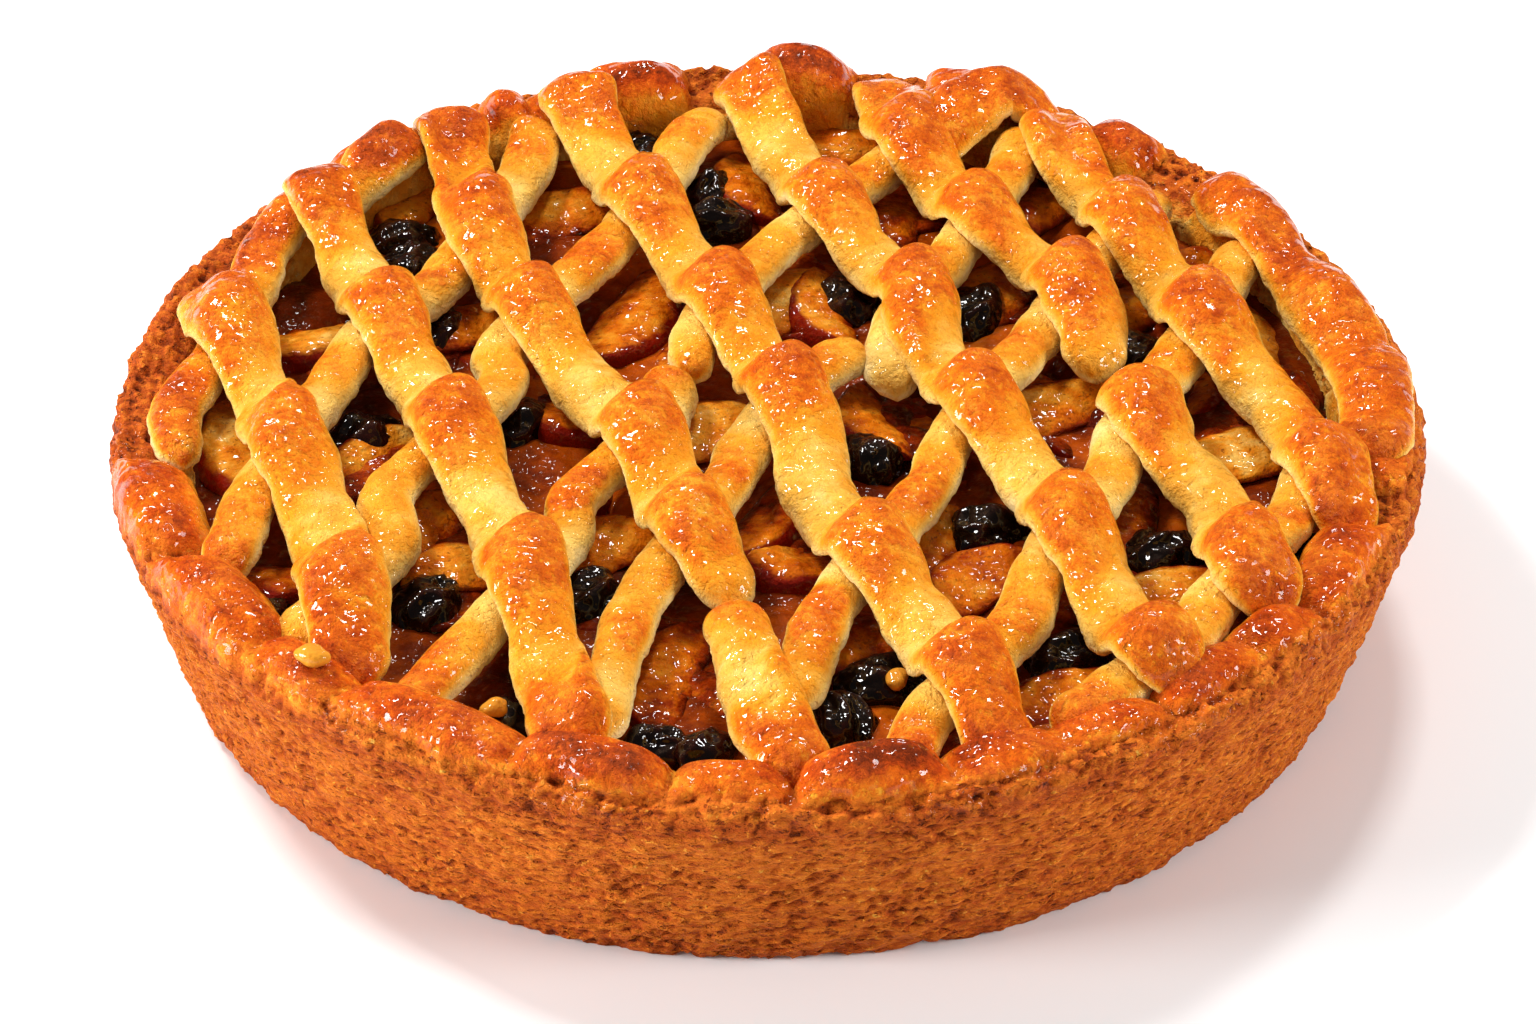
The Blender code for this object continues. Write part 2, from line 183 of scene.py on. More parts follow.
def make_piece(name, bodies):
    """One mesh object from bodies, each a stack of rings in millimetres with its own fields: numbers
    from 0 to 1 at each point, kept on the mesh as attributes. The caps' middles take their ring's mean."""
    vertices, quads, fans, fields, offset = [], [], [], {}, 0
    for rings, marks in bodies:
        points, body_quads, body_fans = ring_body(rings)
        vertices.append(points)
        quads.append(body_quads + offset)
        fans.append(body_fans + offset)
        offset += len(points)
        for key, value in marks.items():
            spread = np.broadcast_to(value, rings.shape[:2])
            fields.setdefault(key, []).append(np.append(spread.ravel(), spread[[0, -1]].mean(1)))
    vertices, quads, fans = np.vstack(vertices), np.vstack(quads), np.vstack(fans)
    mesh = bpy.data.meshes.new(name)
    mesh.vertices.add(len(vertices))
    mesh.vertices.foreach_set("co", (vertices * MM).ravel())
    mesh.loops.add(quads.size + fans.size)
    mesh.loops.foreach_set("vertex_index", np.concatenate([quads.ravel(), fans.ravel()]))
    mesh.polygons.add(len(quads) + len(fans))
    sizes = np.repeat([4, 3], [len(quads), len(fans)])
    mesh.polygons.foreach_set("loop_start", np.append(0, np.cumsum(sizes)[:-1]))
    mesh.update(calc_edges=True)
    mesh.shade_smooth()
    for key, value in fields.items():
        layer = mesh.attributes.new(key, "FLOAT", "POINT")
        layer.data.foreach_set("value", np.clip(np.concatenate(value), 0, 1))
    piece = bpy.data.objects.new(name, mesh)
    bpy.context.scene.collection.objects.link(piece)
    made_pieces.append(piece)
    return piece


def as_seen(red, green, blue):
    """A colour as it looks on a screen, from 0 to 255, turned into the light values that shaders use."""
    seen = np.array([red, green, blue]) / 255
    light = np.where(seen <= 0.04045, seen / 12.92, ((seen + 0.055) / 1.055) ** 2.4)
    return (*light, 1.0)


def wired(tree, kind, settings, *inputs):
    """A node of that kind with its settings. The inputs, taken in order, are values or the outputs of
    other nodes."""
    node = tree.nodes.new(kind)
    for key, value in settings.items():
        setattr(node, key, value)
    for socket, value in zip(node.inputs, inputs):
        if isinstance(value, bpy.types.NodeSocket):
            tree.links.new(value, socket)
        else:
            socket.default_value = value
    return node


def maths(tree, operation, *inputs):
    """The result of a maths node."""
    return wired(tree, "ShaderNodeMath", {"operation": operation}, *inputs).outputs[0]


def step_up(tree, value, low, high):
    """An eased step: 0 where the value is below low, and 1 above high."""
    step = wired(tree, "ShaderNodeMapRange", {"interpolation_type": "SMOOTHSTEP"}, value, low, high)
    return step.outputs[0]


def object_places(tree):
    """Places on the object, in metres, for textures to read."""
    return tree.nodes.new("ShaderNodeTexCoord").outputs["Object"]


def noise(tree, place, scale, detail=4.0, roughness=0.6):
    """Cloudy noise from 0 to 1, mostly near the middle, with scale waves to the metre."""
    node = wired(tree, "ShaderNodeTexNoise", {}, place)
    for key, value in (("Scale", scale), ("Detail", detail), ("Roughness", roughness)):
        node.inputs[key].default_value = value
    return node.outputs["Fac"]


def beads(tree, place, scale, share):
    """Round beads on the surface, 1 in the middle of each, in the given share of the cells."""
    cells = wired(tree, "ShaderNodeTexVoronoi", {}, place)
    cells.inputs["Scale"].default_value = scale
    number = wired(tree, "ShaderNodeSeparateColor", {}, cells.outputs["Color"]).outputs[0]
    chosen = maths(tree, "LESS_THAN", number, share)
    bead = maths(tree, "SUBTRACT", 1.0, step_up(tree, cells.outputs["Distance"], 0.05, 0.34))
    return maths(tree, "MULTIPLY", chosen, bead)


def bump(tree, height, distance, normal=None):
    """A bump from a height of 0 to 1 times a distance in metres, on top of another normal."""
    node = wired(tree, "ShaderNodeBump", {})
    node.inputs["Distance"].default_value = distance
    tree.links.new(height, node.inputs["Height"])
    if normal is not None:
        tree.links.new(normal, node.inputs["Normal"])
    return node.outputs["Normal"]


def ramp(tree, value, stops):
    """A colour ramp through the stops, each a place from 0 to 1 and a colour as it looks on a screen."""
    node = wired(tree, "ShaderNodeValToRGB", {}, value)
    while len(node.color_ramp.elements) < len(stops):
        node.color_ramp.elements.new(0.5)
    for element, (place, *colour) in zip(node.color_ramp.elements, stops):
        element.position = place
        element.color = as_seen(*colour)
    return node.outputs["Color"]


def mark(tree, name):
    """A field of the mesh."""
    return wired(tree, "ShaderNodeAttribute", {"attribute_name": name}).outputs["Fac"]


def new_group(name, inputs, outputs):
    """An empty node group with inputs, all of them numbers, and outputs, a socket type for each name."""
    tree = bpy.data.node_groups.new(name, "ShaderNodeTree")
    for key in inputs:
        tree.interface.new_socket(key, in_out="INPUT", socket_type="NodeSocketFloat")
    for key, kind in outputs.items():
        tree.interface.new_socket(key, in_out="OUTPUT", socket_type=kind)
    return tree, tree.nodes.new("NodeGroupInput").outputs, tree.nodes.new("NodeGroupOutput").inputs


def new_material(name, settings):
    """A material, its node tree and its principled shader, with the shader's inputs set."""
    material = bpy.data.materials.new(name)
    material.use_nodes = True
    shader = material.node_tree.nodes["Principled BSDF"]
    for key, value in settings.items():
        shader.inputs[key].default_value = value
    return material, material.node_tree, shader.inputs


BAKED_COLOURS = [(0.00, 253, 229, 168), (0.18, 252, 209, 108), (0.38, 246, 168, 42), (0.58, 228, 116, 20),
                 (0.78, 188, 74, 12), (1.00, 112, 40, 8)]
CRUST_COLOURS = [(0.00, 253, 228, 170), (0.18, 252, 208, 118), (0.38, 246, 172, 62), (0.58, 230, 122, 28),
                 (0.78, 186, 78, 14), (1.00, 108, 40, 8)]


def baked_dough_group():
    """Node group: rolled dough as the oven leaves it. Its browning is mottled in patches and in fine
    blisters, its skin is dimpled, and glaze lies on it in pools."""
    tree, given, result = new_group("baked_dough", ["Browning", "Glaze"], {
        "Color": "NodeSocketColor", "Normal": "NodeSocketVector", "Coat": "NodeSocketFloat"})
    place = object_places(tree)
    cloud, fine = noise(tree, place, 150.0, 5.0), noise(tree, place, 520.0, 4.0, 0.7)
    blisters = step_up(tree, noise(tree, place, 900.0, 3.0, 0.7), 0.52, 0.66)
    browned = step_up(tree, given["Browning"], 0.3, 0.6)
    shade = maths(tree, "MULTIPLY_ADD", maths(tree, "SUBTRACT", cloud, 0.5),
                  maths(tree, "MULTIPLY_ADD", browned, 0.4, 0.3), given["Browning"])
    shade = maths(tree, "MULTIPLY_ADD", maths(tree, "SUBTRACT", fine, 0.5),
                  maths(tree, "MULTIPLY_ADD", browned, 0.5, 0.12), shade)
    shade = maths(tree, "MULTIPLY_ADD", blisters, maths(tree, "MULTIPLY", browned, -0.12), shade)
    tree.links.new(ramp(tree, shade, BAKED_COLOURS), result["Color"])
    folds = bump(tree, cloud, 0.0022)
    skin = bump(tree, fine, 0.0017, folds)
    tree.links.new(skin, result["Normal"])
    pools = step_up(tree, noise(tree, place, 110.0, 4.0), 0.36, 0.56)
    wetness = maths(tree, "MULTIPLY_ADD", pools, 0.66, 0.14)
    tree.links.new(maths(tree, "MULTIPLY", given["Glaze"], wetness), result["Coat"])
    return tree


baked_dough = baked_dough_group()


def glaze_normal(tree, place):
    """The normal of wet glaze: low waves with beads on them."""
    wet = bump(tree, noise(tree, place, 230.0, 1.2), 0.0026)
    return bump(tree, beads(tree, place, 380.0, 0.2), 0.0009, wet)


def dough_material(name, roughness):
    """Rolled dough, browned and glazed by the fields of the mesh."""
    material, tree, shader = new_material(name, {
        "Roughness": roughness, "Specular IOR Level": 0.12, "Coat Roughness": 0.05, "Coat IOR": 1.42,
        "Coat Tint": as_seen(255, 228, 156)})
    dough = wired(tree, "ShaderNodeGroup", {"node_tree": baked_dough}, mark(tree, "browning"),
                  mark(tree, "glaze"))
    for output, key in (("Color", "Base Color"), ("Normal", "Normal"), ("Coat", "Coat Weight")):
        tree.links.new(dough.outputs[output], shader[key])
    place = object_places(tree)
    tree.links.new(glaze_normal(tree, place), shader["Coat Normal"])
    return material


def crust_material():
    """The case: a dry face of small flat flakes with slits under them, and pale flecks of flour, that
    changes to the look of rolled dough where strips are pressed on the rim. The slits and the edges
    between the flakes are darkened as painted shade."""
    material, tree, shader = new_material("dry_shortcrust", {
        "Roughness": 0.7, "Specular IOR Level": 0.12, "Coat Roughness": 0.06, "Coat IOR": 1.42,
        "Coat Tint": as_seen(255, 218, 150)})
    browning, pressed = mark(tree, "browning"), mark(tree, "pressed")
    dough = wired(tree, "ShaderNodeGroup", {"node_tree": baked_dough}, browning, mark(tree, "glaze"))
    place = object_places(tree)
    flat = wired(tree, "ShaderNodeVectorMath", {"operation": "MULTIPLY"}, place, (1.0, 1.0, 2.3)).outputs[0]
    warp = noise(tree, flat, 330.0, 5.0, 0.7)
    flakes = wired(tree, "ShaderNodeTexVoronoi", {"feature": "F1"}, flat)
    flakes.inputs["Scale"].default_value = 430.0
    flakes.inputs["Detail"].default_value = 2.0
    slits = step_up(tree, noise(tree, flat, 460.0, 2.0, 0.6), 0.58, 0.70)
    flecks = step_up(tree, noise(tree, place, 800.0, 2.0, 0.6), 0.63, 0.72)
    shade = maths(tree, "MULTIPLY_ADD", maths(tree, "SUBTRACT", warp, 0.5), 0.42, browning)
    shade = maths(tree, "SUBTRACT", shade, 0.08)
    # Painted shade: darker at the edges between the flakes and in the slits under them
    shade = maths(tree, "MULTIPLY_ADD", flakes.outputs["Distance"], 0.16, shade)
    shade = maths(tree, "MULTIPLY_ADD", slits, 0.15, maths(tree, "MULTIPLY_ADD", flecks, -0.22, shade))
    colour = wired(tree, "ShaderNodeMix", {"data_type": "RGBA"}, pressed)
    tree.links.new(ramp(tree, shade, CRUST_COLOURS), colour.inputs["A"])
    tree.links.new(dough.outputs["Color"], colour.inputs["B"])
    tree.links.new(colour.outputs["Result"], shader["Base Color"])
    height = maths(tree, "MULTIPLY_ADD", flakes.outputs["Distance"], -0.5, warp)
    height = maths(tree, "MULTIPLY_ADD", slits, -0.8, height)
    dry = bump(tree, height, 0.0013)
    dry = bump(tree, noise(tree, place, 1500.0, 3.0, 0.7), 0.0004, dry)
    both = wired(tree, "ShaderNodeMix", {"data_type": "VECTOR"}, pressed)
    tree.links.new(dry, both.inputs["A"])
    tree.links.new(dough.outputs["Normal"], both.inputs["B"])
    tree.links.new(both.outputs["Result"], shader["Normal"])
    tree.links.new(dough.outputs["Coat"], shader["Coat Weight"])
    tree.links.new(glaze_normal(tree, place), shader["Coat Normal"])
    return material


def case_rings():
    """The case's surface in rows from the middle of its underside up the wall, over the rim and down
    to the floor inside, as rings round the middle, with the browning and glaze of each point. The
    browning also holds painted shade in the pits, under the ridge and at the foot of the wall, and
    painted light on the flecks, crumbs and ledges that stand out."""
    angle = np.linspace(0, 2 * pi, CASE_AROUND, endpoint=False)[None, :]
    floor = np.array([(2.0, 0.0), (60.0, 0.0), (BASE_R - 6, 0.0), (BASE_R - 2.4, 0.0)])
    height = np.linspace(0.3, RIM_HEIGHT[0], WALL_ROWS)
    rise = height / RIM_HEIGHT[0]
    slope = (RIM_REACH[0] - BASE_R) * rise**0.94
    wall = np.stack([BASE_R - 1.0 * np.exp(-height / 1.2) + slope, height], 1)
    rim_reach = np.append(np.linspace(RIM_REACH[0], 127.0, 9)[1:], np.linspace(127.0, LIP_R, 25)[1:])
    inside = np.array([(110.5, 24.0), (109.0, FLOOR_TOP), (50.0, FLOOR_TOP), (2.0, FLOOR_TOP)])
    reach = np.concatenate([floor[:, 0], wall[:, 0], rim_reach, inside[:, 0]])[:, None] + 0 * angle
    short = np.interp(np.degrees(angle), *np.array(RIM_SHORT).T, period=360) * between(reach, 117, 128)
    z = np.concatenate([floor[:, 1], wall[:, 1], 0 * rim_reach, inside[:, 1]])[:, None] + 0 * angle
    first = len(floor) + len(wall)
    last = first + len(rim_reach)
    rim = slice(first, last)
    z[rim] = rim_heights(np.broadcast_to(angle, reach[rim].shape), reach[rim])
    angle = np.broadcast_to(angle, reach.shape)
    rings = np.stack([(reach - short) * np.cos(angle), (reach - short) * np.sin(angle), z], -1)
    # The dry face: flat flecks along the wall, small pits, and a torn edge at the foot and the ridge
    stretched = np.stack([rings[..., 0], rings[..., 1], 2.0 * rings[..., 2]], -1)
    pits = between(0.40 - grains(stretched, 3.4), 0, 0.16) * between(swell(rings, 14), -0.2, 0.3)
    small_pits = between(0.38 - grains(stretched + 9, 2.1), 0, 0.14)
    small_pits *= between(swell(rings + 40, 9), -0.3, 0.3)
    flecks = rough(stretched, 2.8, 2)
    ledge = 2.6 * rough(stretched + 23, 9, 3)
    ledges = (np.floor(ledge) + between(ledge - np.floor(ledge), 0, 0.3)) / 2.6
    crumbs = 1 - grains(stretched + 3, 2.4) - 0.5
    lumps = np.zeros_like(z)
    lumps[rim] = lump_heights(angle[rim], reach[rim])
    dough = between(lumps, 0.8, 3.0)
    dry = 1 - 0.92 * dough
    edge = 0.8 * np.exp(-z / 2.2) + np.exp(-((z - 43.5) / 3.0) ** 2) * (reach > 122) * (1 - 0.8 * dough)
    relief = dry * (0.30 * flecks - 0.8 * pits - 0.6 * small_pits + 0.7 * ledges + 0.5 * crumbs)
    soft = 0.5 * swell(rings, 9) + 0.2 * swell(rings + 5, 4)
    relief += edge * (0.6 * rough(rings + 70, 3.6, 2) + 0.8 * crumbs) + dough * soft
    relief[:len(floor)] = 0
    relief[last:] = 0
    rings = rings + relief[..., None] * ring_normals(rings)
    rings[..., 2] = np.maximum(rings[..., 2], 0)
    # Painted shade: a band of the wall just under the overhanging ridge is darker
    shade = between(z, 34, 41) * (reach > 128) * (1 - between(z, 41.5, 43))
    left = between(np.cos(angle - radians(168)), 0.86, 0.97) * (z > 38)
    browning = 0.60 + 0.02 * swell(rings, 30) + 0.08 * shade + 0.08 * left
    # Painted shade darkens the pits; painted light lightens the flecks, crumbs and ledges that stand out
    browning += dry * (0.20 * pits + 0.14 * small_pits - 0.05 * flecks - 0.20 * crumbs - 0.03 * ledges)
    browning += dough * (0.13 * swell(rings, 9) + 0.12 * swell(rings, 21) + 0.026 * lumps - 0.02)
    # Painted shade: darker towards the foot of the wall
    browning += 0.10 * np.exp(-z / 5) * (reach > 110)
    spilt = np.hypot((np.degrees(angle) % 360 - SPILT_AT) / 5.5, (reach - 121) / 6) + 0.6 * swell(rings, 6)
    browning += 0.11 * dough * (1 - between(spilt, 0.5, 1.1))
    browning -= 0.36 * between(118.4 - reach, 0, 5) * (z > 20)
    glaze = np.clip(0.95 * dough + 0.4 * between(swell(rings, 22), 0, 0.5) * (reach > 112) * (z > 42), 0, 1)
    return rings, {"browning": browning, "glaze": glaze, "pressed": between(lumps, 0.4, 1.6)}


case = make_piece("pastry_case", [case_rings()])
case.data.materials.append(crust_material())
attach(case, "root")
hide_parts("pie_case")

# The sauce
# Cooked apple juice, cinnamon and sugar, set to a dark shiny syrup between the pieces of fruit, with
# the fruit that lies deeper showing as rounded humps under it.

SAUCE_Z = 33.6
SAUCE_R = 113.4
SAUCE_ROWS = 120
CHUNK_SIZE = 15.0


def sauce_rings():
    """A shallow dome of sauce over a flat underside. Its top is raised in humps the size of chunks of
    apple, worked out from the distance to scattered middles."""
    reach = np.concatenate([np.linspace(0.6, SAUCE_R, SAUCE_ROWS), [108.0, 40.0, 0.6]])[:, None]
    angle = np.linspace(0, 2 * pi, 360, endpoint=False)[None, :]
    flat = np.stack([reach * np.cos(angle), reach * np.sin(angle), 0 * reach * angle], -1)
    chunks = 1 - grains(flat + 3.0 * swell(flat, 20)[..., None], CHUNK_SIZE) ** 2
    z = SAUCE_Z + 3.2 * chunks + 0.5 * rough(flat, 6, 2)
    z[SAUCE_ROWS:] = FLOOR_TOP + 0.4
    rings = np.stack([flat[..., 0], flat[..., 1], z], -1)
    tint = between(chunks, 0.1, 0.85) * (0.5 + 0.5 * swell(flat + 90, 25))
    return rings, {"flesh": tint}


def fruit_material(name, colours, mottle, mottle_scale, wave, crinkle, coat):
    """Wet fruit: a colour ramp read along the field flesh and mottled by noise, under a coat of syrup that
    stands in waves and small beads. Wave and crinkle are heights in metres."""
    material, tree, shader = new_material(name, {
        "Roughness": 0.3, "Specular IOR Level": 0.04, "Specular Tint": as_seen(255, 170, 90),
        "Coat Roughness": 0.06, "Coat IOR": 1.42, "Coat Weight": coat})
    place = object_places(tree)
    cloud = noise(tree, place, mottle_scale, 6.0, 0.65)
    tone = maths(tree, "MULTIPLY_ADD", maths(tree, "SUBTRACT", cloud, 0.5), mottle, mark(tree, "flesh"))
    tree.links.new(ramp(tree, tone, colours), shader["Base Color"])
    tree.links.new(bump(tree, noise(tree, place, 700.0, 4.0), crinkle), shader["Normal"])
    wet = bump(tree, noise(tree, place, 260.0, 1.0), wave)
    tree.links.new(bump(tree, beads(tree, place, 330.0, 0.16), 0.0006, wet), shader["Coat Normal"])
    return material


sauce = make_piece("apple_sauce", [sauce_rings()])
sauce.data.materials.append(fruit_material(
    "dark_syrup", [(0.0, 54, 12, 1), (0.35, 112, 34, 2), (0.65, 176, 74, 6), (1.0, 220, 116, 14)],
    0.9, 170.0, 0.0026, 0.0005, 0.45))
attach(sauce, "root")
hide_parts("apple_filling")

# The apple slices
# Unpeeled half moons of apple, cooked soft and brown in the sauce, so each has pale orange flesh and
# one edge of dark red skin. Those that show are laid one by one; smaller ones fill in below them.

HEAP_Z = 39.6
DEEPER_Z = 38.0
DEEPER_SLICES = 110
FRUIT_R = 112.8

# Middle, length, width, heading and slope of each slice that shows between the strips
APPLE_SLICES = [
    (-93, 33, 30, 14, 195, 10), (-74, 84, 28, 15, 65, 10), (-43, 79, 34, 18, 20, 12),
    (-29, 40, 42, 17, 246, 8), (-58, 36, 26, 14, 25, 10), (-3, 92, 30, 14, 105, 16),
    (12, 106, 30, 18, 10, 8), (28, 77, 30, 15, 80, 14), (56, 79, 26, 16, 50, 10), (5, 47, 26, 15, 60, 8),
    (13, 44, 34, 13, 100, 18), (50, 51, 24, 16, 65, 12), (76, 42, 26, 15, 35, 8), (101, 31, 34, 14, 105, 16),
    (-101, -8, 44, 17, 112, 10), (-76, -9, 30, 12, 45, 18), (-38, 4, 26, 12, 155, 12),
    (-66, -34, 30, 16, 60, 16), (-58, -48, 24, 15, 10, 8), (-93, -49, 26, 14, 170, 10),
    (-31, -41, 30, 18, 35, 8), (-18, -80, 36, 18, 75, 10), (-9, -2, 32, 20, 20, 8),
    (-2, -33, 32, 13, 245, 10), (22, 3, 28, 14, 110, 14), (33, -38, 28, 13, 75, 16), (42, -51, 28, 17, 40, 8),
    (58, 6, 34, 16, 32, 12), (93, -11, 36, 19, 20, 6), (71, -32, 28, 14, 80, 12), (76, -56, 32, 15, 12, 8),
    (18, -72, 28, 17, 20, 10), (57, -88, 32, 15, 15, 12), (5, -43, 28, 15, 150, 10), (88, 56, 24, 14, 60, 10),
]


def turned(local, heading, slope):
    """Local points turned about X by slope, and then about Z by heading, in degrees."""
    for first, second, degrees in ((1, 2, slope), (0, 1, heading)):
        size = radians(degrees)
        a, b = local[..., first].copy(), local[..., second].copy()
        local[..., first] = a * cos(size) - b * sin(size)
        local[..., second] = a * sin(size) + b * cos(size)
    return local


def apple_slice(x, y, top, length, width, heading, slope, tone, seed, fineness=48):
    """A half moon, as rings along its length. Across, a ring is a wedge with two flat faces, thick at
    the skin and thin at the core. Marks: skin along the outer edge, and the tone of the flesh, darker
    at its edges and tips and streaked from core to skin, and darker still, as painted shade, the lower
    it lies below the slice's top."""
    along = np.linspace(-1, 1, fineness)[:, None]
    turn = np.linspace(0, 2 * pi, 28, endpoint=False)[None, :]
    taper = np.clip(1.0 - np.abs(along) ** 2.2, 0.003, 1) ** 0.7
    across = np.sign(np.cos(turn)) * np.abs(np.cos(turn)) ** 0.55
    thick = (2.3 + 1.3 * across) * taper**0.6
    px = 0.5 * length * along + 0 * turn
    py = 0.34 * width * (1 - along**2) - 0.17 * width + 0.5 * width * taper * across
    pz = thick * np.sign(np.sin(turn)) * np.abs(np.sin(turn)) ** 0.6
    local = np.stack([px, py, pz], -1)
    own = local + 97.0 * seed
    local[..., 2] += 1.3 * swell(own, 15) - 0.02 * (py + 0.2 * width) ** 2
    local += (0.45 * rough(own, 5, 2))[..., None] * ring_normals(local)
    skin = between(across + 0.10 * swell(own, 3), 0.68, 0.80) + 0 * along
    streaks = swell(own * np.array([1.0, 0.22, 1.0]), 2.6)
    flesh = tone + 0.20 * swell(own, 12) + 0.10 * streaks
    flesh = flesh - 0.22 * np.abs(along) ** 3 - 0.16 * np.abs(across) ** 5
    rings = turned(local, heading, slope)
    rings += np.array([x, y, top - rings[..., 2].max()])
    # Painted shade: the flesh darkens the lower it lies below the slice's top
    flesh = flesh - 0.5 * between(top - rings[..., 2], 1.0, 5.5)
    reach = np.hypot(rings[..., 0], rings[..., 1])
    rings[..., :2] *= np.minimum(1, FRUIT_R / np.maximum(reach, 1))[..., None]
    return rings, {"skin": skin, "flesh": flesh}


def apple_material():
    """Cooked apple: mottled amber flesh with brown freckles of cinnamon, and dark red skin."""
    material = fruit_material("cooked_apple", [
        (0.0, 80, 14, 1), (0.25, 160, 50, 2), (0.5, 218, 110, 8), (0.75, 236, 152, 38),
        (1.0, 250, 200, 100)], 1.2, 220.0, 0.0022, 0.0009, 0.7)
    tree = material.node_tree
    base = tree.nodes["Principled BSDF"].inputs["Base Color"]
    place = object_places(tree)
    freckled = step_up(tree, noise(tree, place, 760.0, 2.0), 0.60, 0.70)
    shares = [(maths(tree, "MULTIPLY", freckled, 0.6), as_seen(104, 36, 6)),
              (mark(tree, "skin"), as_seen(126, 18, 3))]
    for share, shade in shares:
        layer = wired(tree, "ShaderNodeMix", {"data_type": "RGBA"}, share)
        tree.links.new(base.links[0].from_socket, layer.inputs["A"])
        layer.inputs["B"].default_value = shade
        tree.links.new(layer.outputs["Result"], base)
    return material


apple_flesh = apple_material()
draw = np.random.default_rng(5)
slice_bodies = [apple_slice(x, y, HEAP_Z, length, width, heading, slope, draw.uniform(0.36, 0.72), number)
                for number, (x, y, length, width, heading, slope) in enumerate(APPLE_SLICES)]
lower_bodies = []
for number in range(DEEPER_SLICES):
    far, way = 106 * np.sqrt(draw.random()), 2 * pi * draw.random()
    lower_bodies.append(apple_slice(far * cos(way), far * sin(way), DEEPER_Z - 2.6 * draw.random(),
                                    draw.uniform(18, 34), draw.uniform(9, 15), draw.uniform(0, 360),
                                    draw.uniform(-35, 35), draw.uniform(0.02, 0.42), 50 + number, 22))
for name, bodies in (("apple_slices", slice_bodies), ("deeper_slices", lower_bodies)):
    slices = make_piece(name, bodies)
    slices.data.materials.append(apple_flesh)
    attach(slices, "root")
    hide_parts("apple_filling")

# The raisins
# Large dark raisins, mixed into the apple before baking: swollen in the juice, shiny with syrup, and
# folded in deep wrinkles along their length.

# Middle, length and heading of each
RAISINS = [
    (-76, 71, 15, 30), (-73, 60, 15, 80), (-27, 106, 13, 60), (-67, 36, 15, 80), (-10, 78, 15, 20),
    (-12, 90, 13, 70), (18, 49, 17, 115), (43, 43, 17, 70), (74, 26, 15, 60), (-80, -1, 17, 35),
    (-49, 3, 15, 60), (-64, -57, 16, 70), (-95, -63, 15, 60), (-33, -56, 14, 80), (-47, -96, 16, 70),
    (-20, -102, 11, 0), (-11, -103, 11, 40), (21, -9, 14, 110), (43, -33, 16, 20), (76, -41, 16, 20),
    (105, -44, 15, 60), (22, -82, 17, 10), (14, -93, 15, 120), (56, -74, 16, 20),
]


def ellipsoid(half_long, half_wide, half_tall, cut, rows, around):
    """An ellipsoid along X, as rings. The first and last ring lie a share, cut, of half a turn from the
    poles."""
    t = np.linspace(cut, 1 - cut, rows)[:, None] * pi
    turn = np.linspace(0, 2 * pi, around, endpoint=False)[None, :]
    return np.stack([-half_long * np.cos(t) + 0 * turn, half_wide * np.sin(t) * np.cos(turn),
                     half_tall * np.sin(t) * np.sin(turn)], -1)


def raisin(x, y, length, heading, seed):
    """A raisin as rings along its length: an ellipsoid folded by ridged noise stretched along it.
    Its colour is darker in the creases of the folds, as painted shade.
    """
    local = ellipsoid(0.5 * length, 0.40 * length, 0.33 * length, 0.03, 40, 52)
    own = local + 61.0 * seed
    stretched = own * np.array([0.45, 1.0, 1.0])
    folds = (1 - 2.6 * np.abs(swell(stretched, 4.4))) + 0.45 * (1 - 2.4 * np.abs(swell(stretched + 8, 2.3)))
    local += (0.8 * folds + 1.2 * swell(own, 7))[..., None] * ring_normals(local)
    rings = turned(local, heading, 25 * swell(np.array([seed, 3.3, 1.0]), 1.7))
    # Painted shade: the flesh field is lower, so darker, in the creases of the folds
    return rings + np.array([x, y, HEAP_Z + 1.8 - rings[..., 2].max()]), {"flesh": 0.4 + 0.3 * folds}


raisins = make_piece("raisins", [raisin(*place, number) for number, place in enumerate(RAISINS)])
raisins.data.materials.append(fruit_material(
    "raisin_skin", [(0.0, 5, 2, 2), (0.6, 14, 5, 4), (1.0, 60, 16, 6)], 0.3, 200.0, 0.0022, 0.0003, 1.0))
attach(raisins, "root")
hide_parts("apple_filling")

# The cross strips
# Strips of the same dough, rolled round under the hand and laid across the filling first. They stay
# pale and soft where the long strips shade them. They end on the rim or, where a length was short,
# beside a long strip.

CROSS_HALF = 5.9
CROSS_THICK = 6.2
END_LENGTH = 8.0
BED_STEP = 0.6
ROUTE_STEP = 0.9
STRIP_AROUND = 44

# Height of the surface on which the strips lie, inside the rim
STRIP_REST = 41.4

# The routes, as places in millimetres, of these strips and of the long ones that shade them
CROSS_STRIPS = {
    "cross_strip_1": [(-113, -20), (-116, -6), (-114, 4), (-108, 22), (-105, 40), (-103, 56), (-96, 69),
                      (-86, 78), (-73, 94)],
    "cross_strip_2": [(-105, -66), (-101, -50), (-98, -30), (-87, 3), (-80, 24), (-67, 42), (-52, 82),
                      (-48, 108)],
    "cross_strip_3": [(-89, -90), (-84, -72), (-71, -50), (-72, -30), (-53, 4), (-52, 20), (-30, 62),
                      (-21, 84), (-17, 98), (-10, 110)],
    "cross_strip_4": [(-66, -100), (-57, -84), (-39, -48), (-36, -32), (-20, -6), (-20, 12)],
    "cross_strip_5": [(-14, 10), (-14, 24), (-6, 42), (6, 62), (24, 86), (33, 100), (40, 116)],
    "cross_strip_6": [(-31, -108), (-28, -88), (-22, -62), (-8, -30), (0, -6), (19, 21)],
    "cross_strip_7": [(26, 4), (26, 26), (38, 52), (51, 84), (56, 104)],
    "cross_strip_8": [(4, -98), (8, -84), (13, -66), (31, -30), (37, -11), (55, 24), (70, 55), (83, 77)],
    "cross_strip_9": [(24, -121), (30, -100), (46, -76), (54, -50), (66, -28), (71, -8), (82, 14),
                      (96, 48), (100, 66)],
    "cross_strip_10": [(50, -106), (67, -90), (78, -77), (84, -66), (91, -54), (100, -40), (108, -18)],
}

